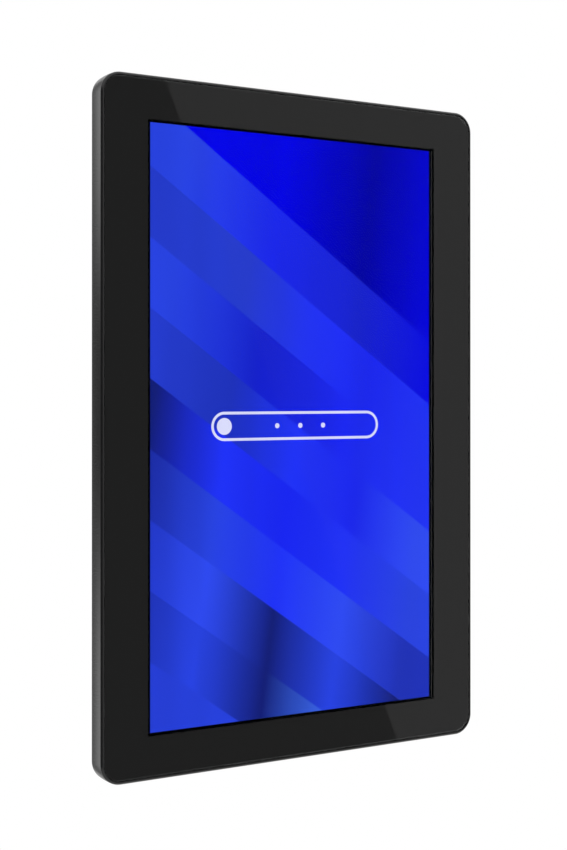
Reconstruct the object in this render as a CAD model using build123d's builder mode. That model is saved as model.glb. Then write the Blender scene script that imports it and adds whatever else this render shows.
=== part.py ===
"""Wall-mounted 15.6 inch touchscreen display in upright format.

Millimetres.  X is across the screen, Z is up, the screen looks along -Y.  The origin is the centre of
the wall-bracket bolt pattern, on the flat back face.  Depths are counted forward from that back face,
so a piece at depth d lies at y = -d; layer(d) is the plane there and an extrusion from it runs forward.
"""

import os
from math import atan2, degrees

from build123d import *

# ------------------------------------------------------------------ driving sizes
picture_w = 193.6  # picture area of a 15.6 inch 16:9 panel, turned upright
picture_h = 344.2
border_side = 31.35  # from the picture to the outside of the frame
border_end = 25.75
body_depth = 38.0  # frame rim to wall face
corner_r = 12.3

# front frame
side_depth = 13.2
side_belly = 0.2  # the side wall is this much proud in the middle of its depth
wall_t = 3.0
rim_w = 1.9
rim_proud = 0.2
bevel_out = 1.0
bevel_down = 0.7
edge_r = 0.4
ledge_w = 10.0
ledge_t = 2.5
boss_r = 3.5
boss_inset = 12.0  # boss centres, from the outside of the frame

# glass and touch layers
glass_gap = 0.2
glass_t = 3.0
print_t = 0.1
tape_t = 0.4
tape_inset = 1.0
touch_film_t = 0.3
touch_film_margin = 9.0
gasket_t = 0.6
gasket_w = 4.0
window_margin_side = 1.75  # clear window beyond the picture
window_margin_end = 0.85

# display module
module_margin_side = 11.2
module_margin_end = 9.9
bezel_t = 0.4
bezel_window_margin = 3.0
cell_margin_side = 5.7
cell_margin_end = 4.9
cell_t = 1.5
carrier_lip_t = 0.5
carrier_lip_margin = 2.0
carrier_wall_t = 3.0
optical_margin = 6.6
diffuser_t = 0.6
guide_t = 3.0
reflector_t = 0.2
module_plate_t = 1.0
led_strip_t = 0.8
led_strip_gap = 0.3
led_package = (1.0, 3.0, 2.4)
led_pitch = 11.0
ear_w = 10.0
driver_board_w = 17.0
driver_board_t = 1.2

# chassis and electronics
service_gap = 2.6  # between the display module and the chassis plate
chassis_t = 1.2
chassis_inset = 7.5
standoff_h = 4.0
board_t = 1.6
socket_plate_t = 1.0
board_edge_gap = 0.6  # from the socket plate
speaker_w = 20.0
speaker_h = 50.0
speaker_inset = 30.0  # speaker edge, from the outside of the frame
speaker_gasket_t = 2.0
board_side_gap = 4.0

# rear cover
cover_t = 2.4
cover_step = 1.0  # the cover stands this far inside the frame
cover_band = 1.0
plateau_inset = 23.0  # from the cover's edge to the edge of the flat back
plateau_bevel = (3.0, 1.6)
lip_h = 1.2
lip_t = 1.4
lip_gap = 0.2
bay_depth = 18.0  # connector bay, counted forward from the back face
bay_height = 48.0
bay_side_gap = 42.0  # bay side, from the outside of the frame
screw_inset = 33.0
screw_end_inset = 40.0

# wall bracket pattern and its M4 pillars
vesa_large = 100.0
vesa_small = 75.0
pillar_r = 5.0
pillar_hole_r = 1.65
pillar_hole_depth = 12.0
pillar_shank_r = 3.0
pillar_gap = 0.3

# fasteners
m3_r = 1.5
m3_clear_r = 1.7
m3_head_r = 2.75
m3_head_h = 1.8
fit_gap = 0.05

# push buttons in the right side wall
button_travel = 0.6
button_proud = 1.0
button_gap = 0.3
button_long = 11.0
button_thick = 3.8
button_pitch = 17.0
button_group_z = -55.0
button_flange = 1.2
button_flange_t = 0.8
switch_size = (3.5, 6.0, 4.4)
stem_r = 0.9
stem_free = 1.2
stem_inside = 1.6
button_board_w = 9.5
button_board_t = 1.2

# main board and what stands on it
board_corner_inset = 5.0
standoff_r = 3.0
processor_size = 16.0
processor_t = 1.2
pad_t = 0.8
sink_size = 52.0
sink_base_t = 2.5
sink_fin_h = 7.0
sink_fin_t = 1.2
sink_fins = 9
header_t = 2.2
wire_r = 0.8
ribbon_t = 0.3

# ------------------------------------------------------------------ sizes that follow
body_w = picture_w + 2 * border_side
body_h = picture_h + 2 * border_end
half_w = body_w / 2
half_h = body_h / 2

glass_w = body_w - 2 * (rim_w + glass_gap)
glass_h = body_h - 2 * (rim_w + glass_gap)
glass_r = corner_r - rim_w - glass_gap
window_w = picture_w + 2 * window_margin_side
window_h = picture_h + 2 * window_margin_end
module_w = picture_w + 2 * module_margin_side
module_h = picture_h + 2 * module_margin_end
cell_w = picture_w + 2 * cell_margin_side
cell_h = picture_h + 2 * cell_margin_end
optical_w = picture_w + 2 * optical_margin
optical_h = picture_h + 2 * optical_margin - 2

glass_front = body_depth - rim_proud
glass_back = glass_front - glass_t
print_back = glass_back - print_t
ledge_front = print_back - tape_t
ledge_back = ledge_front - ledge_t
film_back = print_back - touch_film_t
bezel_front = film_back - gasket_t
cell_front = bezel_front - bezel_t
cell_back = cell_front - cell_t
diffuser_front = cell_back - carrier_lip_t
diffuser_back = diffuser_front - diffuser_t
guide_back = diffuser_back - guide_t
reflector_back = guide_back - reflector_t
module_back = reflector_back - module_plate_t
chassis_front = module_back - service_gap
chassis_back = chassis_front - chassis_t
board_front = chassis_back - standoff_h
board_back = board_front - board_t
frame_back = body_depth - side_depth

boss_x = half_w - boss_inset
boss_z = half_h - boss_inset
ear_z = picture_h * 0.29
chassis_w = body_w - 2 * chassis_inset
chassis_h = body_h - 2 * chassis_inset

cover_half_w = half_w - cover_step
cover_half_h = half_h - cover_step
slope_top = frame_back - cover_band
slope_foot = plateau_bevel[1]
slope_inset = plateau_inset - plateau_bevel[0]
slope_run = slope_inset / (slope_top - slope_foot)
slope_wall = cover_t * (1 + slope_run**2) ** 0.5
bay_half_w = half_w - bay_side_gap
bay_top = -half_h + bay_height
bay_inner = bay_top + cover_t
screw_x = half_w - screw_inset
screw_z = half_h - screw_end_inset
screw_boss_front = cover_t + 3.1

speaker_x = half_w - speaker_inset - speaker_w / 2
board_w = 2 * (speaker_x - speaker_w / 2 - board_side_gap)
board_bottom = bay_inner + socket_plate_t + board_edge_gap
board_top = -vesa_large / 2 - pillar_r - 7
board_h = board_top - board_bottom
speaker_z = board_bottom + 12 + speaker_h / 2
board_mid = (board_bottom + board_top) / 2
thread_r = m3_r + fit_gap

button_mid = frame_back + button_thick / 2 + 1.5
wall_inside = half_w - wall_t
flange_front = wall_inside - button_gap
flange_back = flange_front - button_flange_t
switch_front = flange_back - stem_free
button_board_back = ledge_back - button_board_t
button_spots = [button_group_z + i * button_pitch for i in (-1, 0, 1)]
button_board_x = switch_front - 0.4 - button_board_w / 2
button_screw_points = [(button_board_x + 1, button_group_z + i * button_pitch) for i in (-0.5, 0.5)]


def layer(depth):
    """Plane parallel to the screen, this far in front of the wall face."""
    return Plane.XZ.offset(depth)


def corners(x, z):
    """The four points mirrored in both axes."""
    return [(sx * x, sz * z) for sx in (-1, 1) for sz in (-1, 1)]


def slab(w, h, r, back, front):
    """Add a rounded plate between two depths to the part being built."""
    with BuildSketch(layer(back)) as outline:
        RectangleRounded(w, h, r)
    extrude(outline.sketch, amount=front - back)


def ring(outer, inner, back, front):
    """Add a rounded frame between two depths; outer and inner are (width, height, radius)."""
    with BuildSketch(layer(back)) as outline:
        RectangleRounded(*outer)
        RectangleRounded(*inner, mode=Mode.SUBTRACT)
    extrude(outline.sketch, amount=front - back)


def posts(points, r, back, front, mode=Mode.ADD):
    """Add or cut round posts between two depths."""
    with BuildSketch(layer(back)) as outline:
        with Locations(*points):
            Circle(r)
    extrude(outline.sketch, amount=front - back, mode=mode)


def blocks(boxes, back, front, mode=Mode.ADD):
    """Add or cut rectangular blocks, each (x, z, width, height), between two depths."""
    with BuildSketch(layer(back)) as outline:
        for x, z, w, h in boxes:
            with Locations((x, z)):
                Rectangle(w, h)
    extrude(outline.sketch, amount=front - back, mode=mode)


def screws(points, seat, length, drive=1):
    """Add cross-recessed M3 screws from their seat depth; drive is 1 forward and -1 towards the wall."""
    top = seat - m3_head_h * drive
    posts(points, m3_head_r, top, seat)
    posts(points, m3_r, seat, seat + length * drive)
    long, short = m3_head_r * 1.1, m3_head_r * 0.3
    slots = [(x, z, w, h) for x, z in points for w, h in ((long, short), (short, long))]
    blocks(slots, top, top + m3_head_h * 0.6 * drive, mode=Mode.SUBTRACT)


def taper(depth_a, size_a, depth_b, size_b, mode=Mode.ADD):
    """Join two rounded outlines (width, height, radius) at two depths by straight-sided walls."""
    with BuildSketch(layer(depth_a)) as first:
        RectangleRounded(*size_a)
    with BuildSketch(layer(depth_b)) as second:
        RectangleRounded(*size_b)
    loft([first.sketch.face(), second.sketch.face()], mode=mode)


def wire(points, r):
    """Add a round wire through (x, depth, z) points with rounded bends."""
    with BuildLine() as route:
        FilletPolyline(*[(x, -d, z) for x, d, z in points], radius=3 * r)
    path = route.wires()[0]
    with BuildSketch(Plane(path @ 0, z_dir=path % 0)) as outline:
        Circle(r)
    sweep(outline.sketch, path=path)


pieces = []


def finish(builder, name):
    """Name a finished piece and keep it for writing out."""
    builder.part.label = name
    pieces.append(builder.part)


# ------------------------------------------------------------------ front frame
# Moulded ring: a bellied side wall with a bevelled rim, a ledge for the glass tape and screw bosses.
chassis_points = [(sx * boss_x, z) for sx in (-1, 1) for z in (-boss_z * 0.8, 0, boss_z * 0.8)]
chassis_points += corners(half_w * 0.55, boss_z)
ear_points = corners(boss_x, ear_z)

edge_front = frame_back + edge_r
belly_mid = (edge_front + body_depth - bevel_down) / 2
profile = [
    (frame_back, side_belly + edge_r),
    (edge_front, side_belly),
    (belly_mid, 0),
    (body_depth - bevel_down, side_belly),
    (body_depth, side_belly + bevel_out),
]
with BuildPart() as front_frame:
    for (low, low_in), (high, high_in) in zip(profile, profile[1:]):
        with BuildSketch(layer(low)):
            RectangleRounded(body_w - 2 * low_in, body_h - 2 * low_in, corner_r - low_in)
        extrude(amount=high - low, taper=degrees(atan2(high_in - low_in, high - low)))
    hollow = (body_w - 2 * wall_t, body_h - 2 * wall_t, corner_r - wall_t)
    with BuildSketch(layer(frame_back)):
        RectangleRounded(*hollow)
    extrude(amount=ledge_front - frame_back, mode=Mode.SUBTRACT)
    with BuildSketch(layer(ledge_front)):
        RectangleRounded(body_w - 2 * rim_w, body_h - 2 * rim_w, corner_r - rim_w)
    extrude(amount=side_depth, mode=Mode.SUBTRACT)
    ledge_outer = (body_w - 2 * wall_t + 0.2, body_h - 2 * wall_t + 0.2, corner_r - wall_t + 0.1)
    ledge_inner = (body_w - 2 * (wall_t + ledge_w), body_h - 2 * (wall_t + ledge_w), 4)
    ring(ledge_outer, ledge_inner, ledge_back, ledge_front)
    posts(chassis_points, boss_r, chassis_front, ledge_back)
    posts(ear_points, boss_r, reflector_back, ledge_back)
    posts(chassis_points, thread_r, chassis_front, ledge_back, mode=Mode.SUBTRACT)
    posts(ear_points, thread_r, reflector_back, ledge_back, mode=Mode.SUBTRACT)
    slot_l = button_long + 2 * button_gap
    for z in button_spots:
        with BuildSketch(Plane.YZ.offset(wall_inside - 0.5)) as slot:
            with Locations((-button_mid, z)):
                SlotOverall(slot_l, button_thick + 2 * button_gap, rotation=90)
        extrude(slot.sketch, amount=wall_t + 1, mode=Mode.SUBTRACT)
    posts(button_screw_points, thread_r, ledge_back, ledge_front, mode=Mode.SUBTRACT)
finish(front_frame, "front_frame")

# ------------------------------------------------------------------ glass and touch layers
with BuildPart() as cover_glass:
    slab(glass_w, glass_h, glass_r, glass_back, glass_front)
    chamfer(cover_glass.edges().group_by(Axis.Y)[0], 0.3)
finish(cover_glass, "cover_glass")

with BuildPart() as border_print:
    ring((glass_w - 0.6, glass_h - 0.6, glass_r - 0.3), (window_w, window_h, 0.5), print_back, glass_back)
finish(border_print, "border_print")

tape_out = wall_t + tape_inset
tape_outer = (body_w - 2 * tape_out, body_h - 2 * tape_out, corner_r - tape_out)
tape_inner = (ledge_inner[0] + 2 * tape_inset, ledge_inner[1] + 2 * tape_inset, 3)
with BuildPart() as glass_tape:
    ring(tape_outer, tape_inner, ledge_front, print_back)
finish(glass_tape, "glass_tape")

film_w = picture_w + 2 * touch_film_margin
film_h = picture_h + 2 * touch_film_margin - 2
with BuildPart() as touch_sensor:
    slab(film_w, film_h, 2, film_back, print_back)
finish(touch_sensor, "touch_sensor")

gasket_inner = (picture_w + 2 * bezel_window_margin + 1, picture_h + 2 * bezel_window_margin - 1, 1)
with BuildPart() as panel_gasket:
    gasket_outer = (gasket_inner[0] + 2 * gasket_w, gasket_inner[1] + 2 * gasket_w, 2)
    ring(gasket_outer, gasket_inner, bezel_front, film_back)
finish(panel_gasket, "panel_gasket")

# ------------------------------------------------------------------ display module
with BuildPart() as lcd_bezel:
    bezel_window = (picture_w + 2 * bezel_window_margin, picture_h + 2 * bezel_window_margin - 2, 0.5)
    ring((module_w, module_h, 1.5), bezel_window, cell_front, bezel_front)
    bezel_inside = (module_w - 2 * bezel_t, module_h - 2 * bezel_t, 1.1)
    ring((module_w, module_h, 1.5), bezel_inside, reflector_back + 0.2, cell_front)
finish(lcd_bezel, "lcd_bezel")

with BuildPart() as lcd_cell:
    slab(cell_w, cell_h, 0.3, cell_back, cell_front)
finish(lcd_cell, "lcd_cell")

with BuildPart() as panel_carrier:
    carrier_outer = (bezel_inside[0] - 0.2, bezel_inside[1] - 0.2, 1)
    ring(carrier_outer, (cell_w + 0.4, cell_h + 0.4, 0.3), cell_back, cell_front)
    carrier_lip = (picture_w + 2 * carrier_lip_margin, picture_h + 2 * carrier_lip_margin, 0.3)
    ring(carrier_outer, carrier_lip, diffuser_front, cell_back)
    ring(carrier_outer, (optical_w + 0.4, optical_h + 0.4, 0.3), reflector_back, diffuser_front)
finish(panel_carrier, "panel_carrier")

with BuildPart() as diffuser_sheets:
    slab(optical_w, optical_h, 0.3, diffuser_back, diffuser_front)
finish(diffuser_sheets, "diffuser_sheets")

strip_x = led_strip_t / 2 - optical_w / 2
guide_edge = led_strip_t + led_package[0] + led_strip_gap - optical_w / 2
with BuildPart() as light_guide:
    guide_w = optical_w / 2 - guide_edge
    blocks([(guide_edge + guide_w / 2, 0, guide_w, optical_h)], guide_back, diffuser_back)
finish(light_guide, "light_guide")

flex_z = picture_h * 0.3
flex_slot = [(strip_x, flex_z, led_strip_t, 14)]
with BuildPart() as reflector_sheet:
    slab(optical_w, optical_h, 0.3, reflector_back, guide_back)
    blocks(flex_slot, reflector_back, guide_back, mode=Mode.SUBTRACT)
finish(reflector_sheet, "reflector_sheet")

led_count = int((optical_h - 20) // led_pitch) + 1
with BuildPart() as led_bar:
    blocks([(strip_x, 0, led_strip_t, optical_h - 4)], guide_back, diffuser_back)
    led_x = strip_x + led_strip_t / 2 + led_package[0] / 2
    led_rows = [(i - (led_count - 1) / 2) * led_pitch for i in range(led_count)]
    led_mid = (guide_back + diffuser_back) / 2
    leds = [(led_x, z, led_package[0], led_package[1]) for z in led_rows]
    blocks(leds, led_mid - led_package[2] / 2, led_mid + led_package[2] / 2)
    blocks([(strip_x, flex_z, ribbon_t, 12)], module_back, guide_back)
finish(led_bar, "led_bar")

ear_reach = boss_x + ear_w / 2 - module_w / 2
ear_mid = (module_w + ear_reach - 1) / 2
ears = [(sx * ear_mid, z, ear_reach + 1, ear_w) for sx in (-1, 1) for z in (-ear_z, ear_z)]
with BuildPart() as module_back_plate:
    slab(module_w, module_h, 1.5, module_back, reflector_back)
    blocks(ears, module_back, reflector_back)
    posts(ear_points, m3_clear_r, module_back, reflector_back, mode=Mode.SUBTRACT)
    blocks(flex_slot, module_back, reflector_back, mode=Mode.SUBTRACT)
finish(module_back_plate, "module_back_plate")

driver_x = driver_board_w / 2 + 2 - module_w / 2
driver_h = module_h * 0.8
with BuildPart() as panel_driver_board:
    blocks([(driver_x, 0, driver_board_w, driver_h)], module_back - driver_board_t, module_back)
finish(panel_driver_board, "panel_driver_board")

with BuildPart() as panel_screws:
    screws(ear_points, module_back, 4.5)
finish(panel_screws, "panel_screws")

# ------------------------------------------------------------------ chassis
# A pressed steel plate carries the wall pillars, the board stand-offs and the cover posts.
pillar_points = corners(vesa_large / 2, vesa_large / 2) + corners(vesa_small / 2, vesa_small / 2)
board_points = [
    (sx * (board_w / 2 - board_corner_inset), z)
    for sx in (-1, 1)
    for z in (board_bottom + board_corner_inset + 14, board_top - board_corner_inset)
]
cover_points = [(sx * screw_x, sz * screw_z) for sx in (-1, 1) for sz in (-1, 0, 1)]
tail_x = (module_w / 2 + half_w - wall_t - ledge_w) / 2
tail_z = 45.0
touch_board_x = tail_x - 16
display_slot = (-board_w / 2 + 3, board_top + 12)
button_slot_x = switch_front - switch_size[0] - 5
button_cable_z = button_spots[0] - button_long / 2 - 3
tail_slot = (tail_x, tail_z, 3, 34)
touch_points = [(touch_board_x, tail_z + s * 20) for s in (-1, 1)]
with BuildPart() as chassis_plate:
    slab(chassis_w, chassis_h, corner_r - chassis_inset + 2, chassis_back, chassis_front)
    posts(chassis_points, m3_clear_r, chassis_back, chassis_front, mode=Mode.SUBTRACT)
    slots = [tail_slot, (*display_slot, 6, 16), (button_slot_x, button_cable_z, 4, 10)]
    blocks(slots, chassis_back, chassis_front, mode=Mode.SUBTRACT)
finish(chassis_plate, "chassis_plate")

with BuildPart() as chassis_screws:
    screws(chassis_points, chassis_back, 6)
finish(chassis_screws, "chassis_screws")

with BuildPart() as wall_pillars:
    posts(pillar_points, pillar_r, cover_t + pillar_gap, chassis_back)
    posts(pillar_points, pillar_shank_r, 0, cover_t + pillar_gap)
    posts(pillar_points, pillar_hole_r, 0, pillar_hole_depth, mode=Mode.SUBTRACT)
finish(wall_pillars, "wall_pillars")

with BuildPart() as board_standoffs:
    posts(board_points + touch_points, standoff_r, board_front, chassis_back)
    posts(board_points + touch_points, thread_r, board_front, chassis_back, mode=Mode.SUBTRACT)
finish(board_standoffs, "board_standoffs")

with BuildPart() as cover_posts:
    posts(cover_points, boss_r, screw_boss_front, chassis_back)
    posts(cover_points, thread_r, screw_boss_front, screw_boss_front + 10, mode=Mode.SUBTRACT)
finish(cover_posts, "cover_posts")

# ------------------------------------------------------------------ main board
sink_x = -board_w * 0.12
sink_z = board_top - sink_size / 2 - 3
sink_screw_x = sink_size / 2 - 4
sink_points = [(sink_x + s * sink_screw_x, sink_z + s * sink_screw_x) for s in (-1, 1)]
processor_back = board_back - processor_t
sink_front = processor_back - pad_t
sink_seat = sink_front - sink_base_t
with BuildPart() as main_board:
    blocks([(0, board_mid, board_w, board_h)], board_back, board_front)
    posts(board_points, m3_clear_r, board_back, board_front, mode=Mode.SUBTRACT)
    posts(sink_points, thread_r, board_back, board_front, mode=Mode.SUBTRACT)
finish(main_board, "main_board")

with BuildPart() as board_screws:
    screws(board_points + touch_points, board_back, board_t + standoff_h - 0.6)
finish(board_screws, "board_screws")

with BuildPart() as processor:
    blocks([(sink_x, sink_z, processor_size, processor_size)], processor_back, board_back)
finish(processor, "processor")

with BuildPart() as thermal_pad:
    blocks([(sink_x, sink_z, processor_size, processor_size)], sink_front, processor_back)
finish(thermal_pad, "thermal_pad")

with BuildPart() as heat_sink:
    blocks([(sink_x, sink_z, sink_size, sink_size)], sink_seat, sink_front)
    posts(sink_points, m3_clear_r, sink_seat, sink_front, mode=Mode.SUBTRACT)
    fin_span = 2 * (sink_screw_x - m3_head_r - 1.5)
    fin_pitch = (fin_span - sink_fin_t) / (sink_fins - 1)
    fin_x = [sink_x + (i - (sink_fins - 1) / 2) * fin_pitch for i in range(sink_fins)]
    blocks([(x, sink_z, sink_fin_t, sink_size) for x in fin_x], sink_seat - sink_fin_h, sink_seat)
finish(heat_sink, "heat_sink")

with BuildPart() as heat_sink_screws:
    screws(sink_points, sink_seat, board_front - sink_seat)
finish(heat_sink_screws, "heat_sink_screws")

memory_x = sink_x + sink_size / 2 + 8
with BuildPart() as memory_chips:
    chips = [(memory_x, sink_z + i * 14, 9, 11) for i in (-1, 0, 1)]
    blocks(chips, board_back - 1, board_back)
finish(memory_chips, "memory_chips")

wifi_x = memory_x + 19
with BuildPart() as wireless_module:
    blocks([(wifi_x, sink_z + 4, 16, 24)], board_back - 1, board_back)
    blocks([(wifi_x, sink_z + 2, 13, 17)], board_back - header_t, board_back - 1)
finish(wireless_module, "wireless_module")

coin_x = sink_x - sink_size / 2 - 11
with BuildPart() as coin_cell:
    posts([(coin_x, sink_z - 12)], 6.25, board_back - 4.2, board_back - 1)
finish(coin_cell, "coin_cell")

with BuildPart() as coin_holder:
    posts([(coin_x, sink_z - 12)], 7.6, board_back - 3.2, board_back)
    posts([(coin_x, sink_z - 12)], 6.25 + 0.2, board_back - 3.2, board_back - 1, mode=Mode.SUBTRACT)
finish(coin_holder, "coin_holder")

display_header_z = board_top - 13
touch_header_z = board_top - 5
touch_header_x = board_w / 2 - 22
button_header_x = board_w / 2 - 6
speaker_header_x = board_w / 2 - 8
speaker_header_z = button_cable_z - 14
with BuildPart() as board_headers:
    headers = [
        (display_slot[0] + 6, display_header_z, 13, 5),
        (touch_header_x, touch_header_z, 10, 5),
        (button_header_x, button_cable_z, 6, 8),
        (speaker_header_x, speaker_header_z, 6, 6),
        (-speaker_header_x, speaker_header_z, 6, 6),
    ]
    blocks(headers, board_back - header_t, board_back)
finish(board_headers, "board_headers")

# ------------------------------------------------------------------ sockets in the bay
# Each stands on the back of the board and opens downwards through a window in the bay wall.
socket_face = bay_top + 0.5
socket_back_wall = 1.2


def socket(x, w, h, long):
    """Add a socket body standing h from the board, with its mouth at the bay wall."""
    blocks([(x, socket_face + long / 2, w, long)], board_back - h, board_back)


def mouth(x, w, h, centre, deep):
    """Cut a rectangular mouth into a socket, centred at a height from the board."""
    mid = board_back - centre
    blocks([(x, socket_face + deep / 2, w, deep)], mid - h / 2, mid + h / 2, mode=Mode.SUBTRACT)


def tongue(x, w, h, centre, deep):
    """Add the contact tongue inside a socket mouth, its tip a little back from the face."""
    mid = board_back - centre
    blocks([(x, socket_face + 1 + deep / 2, w, deep)], mid - h / 2, mid + h / 2)


socket_sizes = {
    "dc": (9.0, 11.0, 14.0),
    "usb_c": (9.0, 3.3, 8.0),
    "hdmi": (15.0, 6.2, 12.0),
    "usb_a": (14.4, 7.0, 14.0),
    "usb_a_second": (14.4, 7.0, 14.0),
    "network": (16.2, 13.6, 21.0),
    "audio": (7.0, 6.0, 13.0),
}
socket_pitch_gap = (board_w - 16 - sum(size[0] for size in socket_sizes.values())) / (len(socket_sizes) - 1)
socket_x = {}
reach = -board_w / 2 + 8
for socket_name, socket_size in socket_sizes.items():
    socket_x[socket_name] = reach + socket_size[0] / 2
    reach += socket_size[0] + socket_pitch_gap


def round_mouth(x, r, centre, deep, mode=Mode.SUBTRACT, start=0.0):
    """Cut or add a round bore running up from a socket face."""
    with BuildSketch(Plane.XY.offset(socket_face + start)) as outline:
        with Locations((x, centre - board_back)):
            Circle(r)
    extrude(outline.sketch, amount=deep, mode=mode)


with BuildPart() as dc_jack:
    socket(socket_x["dc"], *socket_sizes["dc"])
    round_mouth(socket_x["dc"], 3.2, 6.5, 9.5)
    round_mouth(socket_x["dc"], 1.05, 6.5, 9, mode=Mode.ADD, start=0.8)
finish(dc_jack, "dc_jack")

with BuildPart() as usb_c_socket:
    socket(socket_x["usb_c"], *socket_sizes["usb_c"])
    mouth(socket_x["usb_c"], 8.3, 2.5, 1.65, 6.5)
    tongue(socket_x["usb_c"], 6.7, 0.7, 1.65, 6)
finish(usb_c_socket, "usb_c_socket")

with BuildPart() as video_socket:
    socket(socket_x["hdmi"], *socket_sizes["hdmi"])
    mouth(socket_x["hdmi"], 14, 4.6, 3.1, 10)
    tongue(socket_x["hdmi"], 11, 1.3, 3.1, 9.5)
finish(video_socket, "video_socket")

with BuildPart() as usb_a_sockets:
    for usb_name in ("usb_a", "usb_a_second"):
        socket(socket_x[usb_name], *socket_sizes[usb_name])
        mouth(socket_x[usb_name], 12.6, 5.2, 3.5, 11)
        tongue(socket_x[usb_name], 11, 1.8, 4.7, 10.5)
finish(usb_a_sockets, "usb_a_sockets")

with BuildPart() as network_socket:
    socket(socket_x["network"], *socket_sizes["network"])
    mouth(socket_x["network"], 12, 7, 5.8, 16)
    mouth(socket_x["network"], 6.4, 2, 10.2, 16)
finish(network_socket, "network_socket")

with BuildPart() as audio_jack:
    socket(socket_x["audio"], *socket_sizes["audio"])
    round_mouth(socket_x["audio"], 1.8, 3, 11.5)
finish(audio_jack, "audio_jack")

# ------------------------------------------------------------------ touch controller and cables
with BuildPart() as touch_board:
    blocks([(touch_board_x, tail_z, 18, 50)], board_back, board_front)
    posts(touch_points, m3_clear_r, board_back, board_front, mode=Mode.SUBTRACT)
    blocks([(touch_board_x + 2, tail_z, 5, 28)], board_back - 1.4, board_back)
    blocks([(touch_board_x - 4, tail_z, 7, 7)], board_back - 1, board_back)
finish(touch_board, "touch_board")

with BuildPart() as touch_tail:
    tail_w = 26
    tail_back = board_back - 1.4 - ribbon_t
    film_edge = film_w / 2
    blocks([((film_edge + tail_x) / 2, tail_z, tail_x - film_edge, tail_w)], film_back, print_back)
    blocks([(tail_x - ribbon_t / 2, tail_z, ribbon_t, tail_w)], tail_back, print_back)
    tail_end = touch_board_x + 1
    blocks([((tail_end + tail_x) / 2, tail_z, tail_x - tail_end, tail_w)], tail_back, tail_back + ribbon_t)
finish(touch_tail, "touch_tail")

with BuildPart() as touch_cable:
    wire_depth = board_back - header_t - 3
    wire_x = touch_board_x - 7
    turn_z = board_top + 3.5
    wire(
        [
            (wire_x, board_back, tail_z - 14),
            (wire_x, wire_depth, tail_z - 14),
            (wire_x, wire_depth, turn_z),
            (touch_header_x, wire_depth, turn_z),
            (touch_header_x, wire_depth, touch_header_z),
            (touch_header_x, board_back - header_t, touch_header_z),
        ],
        wire_r,
    )
finish(touch_cable, "touch_cable")

with BuildPart() as display_cable:
    ribbon_w = 12
    x0, z0 = display_slot
    near = module_back - driver_board_t
    far = board_back - header_t - ribbon_t
    start = driver_x
    blocks([((start + x0) / 2, z0, x0 - start, ribbon_w)], near - ribbon_t, near)
    blocks([(x0 - ribbon_t / 2, z0, ribbon_t, ribbon_w)], far, near)
    drop = display_header_z - 1
    top = z0 + ribbon_w / 2
    blocks([(x0 + 6, (top + drop) / 2, ribbon_w + ribbon_t, top - drop)], far, far + ribbon_t)
finish(display_cable, "display_cable")

with BuildPart() as speaker_leads:
    for side in (-1, 1):
        wire(
            [
                (side * (speaker_x - speaker_w / 2), board_back - header_t - 5, speaker_header_z),
                (side * speaker_header_x, board_back - header_t - 5, speaker_header_z),
                (side * speaker_header_x, board_back - header_t, speaker_header_z),
            ],
            wire_r,
        )
finish(speaker_leads, "speaker_leads")

# ------------------------------------------------------------------ push buttons
with BuildPart() as button_board:
    board_long = 3 * button_pitch + 12
    blocks([(button_board_x, button_group_z - 2, button_board_w, board_long)], button_board_back, ledge_back)
    posts(button_screw_points, m3_clear_r, button_board_back, ledge_back, mode=Mode.SUBTRACT)
finish(button_board, "button_board")

with BuildPart() as button_switches:
    switch_x = switch_front - switch_size[0] / 2
    bodies = [(switch_x, z, switch_size[0], switch_size[1]) for z in button_spots]
    blocks(bodies, button_board_back - switch_size[2], button_board_back)
    for z in button_spots:
        with BuildSketch(Plane.YZ.offset(switch_front)) as bore:
            with Locations((-button_mid, z)):
                Circle(stem_r + fit_gap)
        extrude(bore.sketch, amount=-stem_inside - button_travel - 0.4, mode=Mode.SUBTRACT)
finish(button_switches, "button_switches")

with BuildPart() as button_screws:
    screws(button_screw_points, button_board_back, 3)
finish(button_screws, "button_screws")

with BuildPart() as button_cable:
    cable_w = 6
    low = chassis_back - 3
    end = board_w / 2 + 2
    far = board_back - header_t - ribbon_t
    blocks([(button_slot_x, button_cable_z, ribbon_t, cable_w)], low, button_board_back)
    blocks([((button_slot_x + end) / 2, button_cable_z, button_slot_x - end, cable_w)], low, low + ribbon_t)
    blocks([(end + ribbon_t / 2, button_cable_z, ribbon_t, cable_w)], far, low + ribbon_t)
    start = button_header_x - 2
    end += ribbon_t
    blocks([((start + end) / 2, button_cable_z, end - start, cable_w)], far, far + ribbon_t)
finish(button_cable, "button_cable")


for button_z, button_name in zip(button_spots, ("volume_down", "volume_up", "power")):
    with BuildPart() as button:
        with BuildSketch(Plane.YZ.offset(flange_back)) as outline:
            with Locations((-button_mid, button_z)):
                Rectangle(button_thick, button_long + 2 * button_flange)
        extrude(amount=button_flange_t)
        with BuildSketch(Plane.YZ.offset(flange_front)) as outline:
            with Locations((-button_mid, button_z)):
                SlotOverall(button_long, button_thick, rotation=90)
        extrude(amount=half_w + button_proud - flange_front)
        fillet(button.edges().group_by(Axis.X)[-1], 0.5)
        with BuildSketch(Plane.YZ.offset(flange_back)) as outline:
            with Locations((-button_mid, button_z)):
                Circle(stem_r)
        extrude(amount=-stem_free - stem_inside)
    finish(button, f"{button_name}_button")

# ------------------------------------------------------------------ rear cover
# One moulding: a narrow band against the frame, sloping sides and a flat back with the bay in it.
cover_r = corner_r - cover_step


def cover_outline(depth, inside=0.0):
    """Outline of the sloping cover at a depth, moved in by a wall."""
    inset = slope_run * max(slope_top - depth, 0) + inside
    return (2 * (cover_half_w - inset), 2 * (cover_half_h - inset), cover_r - inside)


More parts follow.
